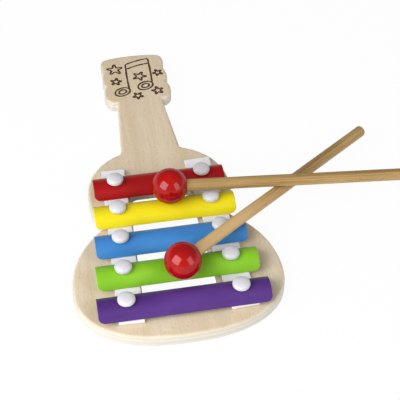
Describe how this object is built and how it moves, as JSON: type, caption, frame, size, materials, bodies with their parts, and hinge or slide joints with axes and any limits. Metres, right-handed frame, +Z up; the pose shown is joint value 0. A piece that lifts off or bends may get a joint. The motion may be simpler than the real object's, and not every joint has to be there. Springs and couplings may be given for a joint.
{
  "type": "toy xylophone",
  "caption": "Toy xylophone: arched enamelled tone bars held by capped nails over foam strips on a guitar-shaped wooden board, with ball-headed mallets lying on it.",
  "frame": {"origin": "middle of the board's underside: on the midline, half way from the tail to the crown of the head", "axes": "+Z up through the board's thickness, +Y along the midline towards the head, +X to the right as the bars are played"},
  "size_m": [0.2306, 0.244, 0.0387],
  "materials": {
    "birch_plywood": "pale sanded board, clear matt varnish, burnt line decoration on the head",
    "white_foam": "closed-cell foam strip",
    "white_plastic": "moulded, half gloss",
    "steel": "bright drawn wire",
    "red_enamel": "red enamel on rolled strip",
    "yellow_enamel": "yellow enamel on rolled strip",
    "blue_enamel": "blue enamel on rolled strip",
    "green_enamel": "green enamel on rolled strip",
    "purple_enamel": "purple enamel on rolled strip",
    "red_lacquer": "turned wood, glossy red lacquer",
    "bamboo": "round bamboo stick, waxed"
  },
  "bodies": {
    "board_assembly": {"board": "birch_plywood", "left_foam_strip": "white_foam", "right_foam_strip": "white_foam", "red_bar_left_cap": "white_plastic", "red_bar_left_nail": "steel", "red_bar_right_cap": "white_plastic", "red_bar_right_nail": "steel", "yellow_bar_left_cap": "white_plastic", "yellow_bar_left_nail": "steel", "yellow_bar_right_cap": "white_plastic", "yellow_bar_right_nail": "steel", "blue_bar_left_cap": "white_plastic", "blue_bar_left_nail": "steel", "blue_bar_right_cap": "white_plastic", "blue_bar_right_nail": "steel", "green_bar_left_cap": "white_plastic", "green_bar_left_nail": "steel", "green_bar_right_cap": "white_plastic", "green_bar_right_nail": "steel", "purple_bar_left_cap": "white_plastic", "purple_bar_left_nail": "steel", "purple_bar_right_cap": "white_plastic", "purple_bar_right_nail": "steel"},
    "red_bar_body": {"red_bar": "red_enamel"},
    "yellow_bar_body": {"yellow_bar": "yellow_enamel"},
    "blue_bar_body": {"blue_bar": "blue_enamel"},
    "green_bar_body": {"green_bar": "green_enamel"},
    "purple_bar_body": {"purple_bar": "purple_enamel"},
    "lower_mallet": {"lower_mallet_ball": "red_lacquer", "lower_mallet_stick": "bamboo"},
    "upper_mallet": {"upper_mallet_ball": "red_lacquer", "upper_mallet_stick": "bamboo"}
  },
  "joints": [
    {"name": "red_bar_hop", "type": "slide", "parent": "board_assembly", "child": "red_bar_body", "axis": [0, 0, 1], "range_m": [0, 0.0004]},
    {"name": "yellow_bar_hop", "type": "slide", "parent": "board_assembly", "child": "yellow_bar_body", "axis": [0, 0, 1], "range_m": [0, 0.0004]},
    {"name": "blue_bar_hop", "type": "slide", "parent": "board_assembly", "child": "blue_bar_body", "axis": [0, 0, 1], "range_m": [0, 0.0004]},
    {"name": "green_bar_hop", "type": "slide", "parent": "board_assembly", "child": "green_bar_body", "axis": [0, 0, 1], "range_m": [0, 0.0004]},
    {"name": "purple_bar_hop", "type": "slide", "parent": "board_assembly", "child": "purple_bar_body", "axis": [0, 0, 1], "range_m": [0, 0.0004]},
    {"name": "lower_mallet_lift", "type": "slide", "parent": "board_assembly", "child": "lower_mallet", "axis": [0, 0, 1], "range_m": [0, 0.06]},
    {"name": "upper_mallet_lift", "type": "slide", "parent": "lower_mallet", "child": "upper_mallet", "axis": [0, 0, 1], "range_m": [0, 0.06]}
  ]
}
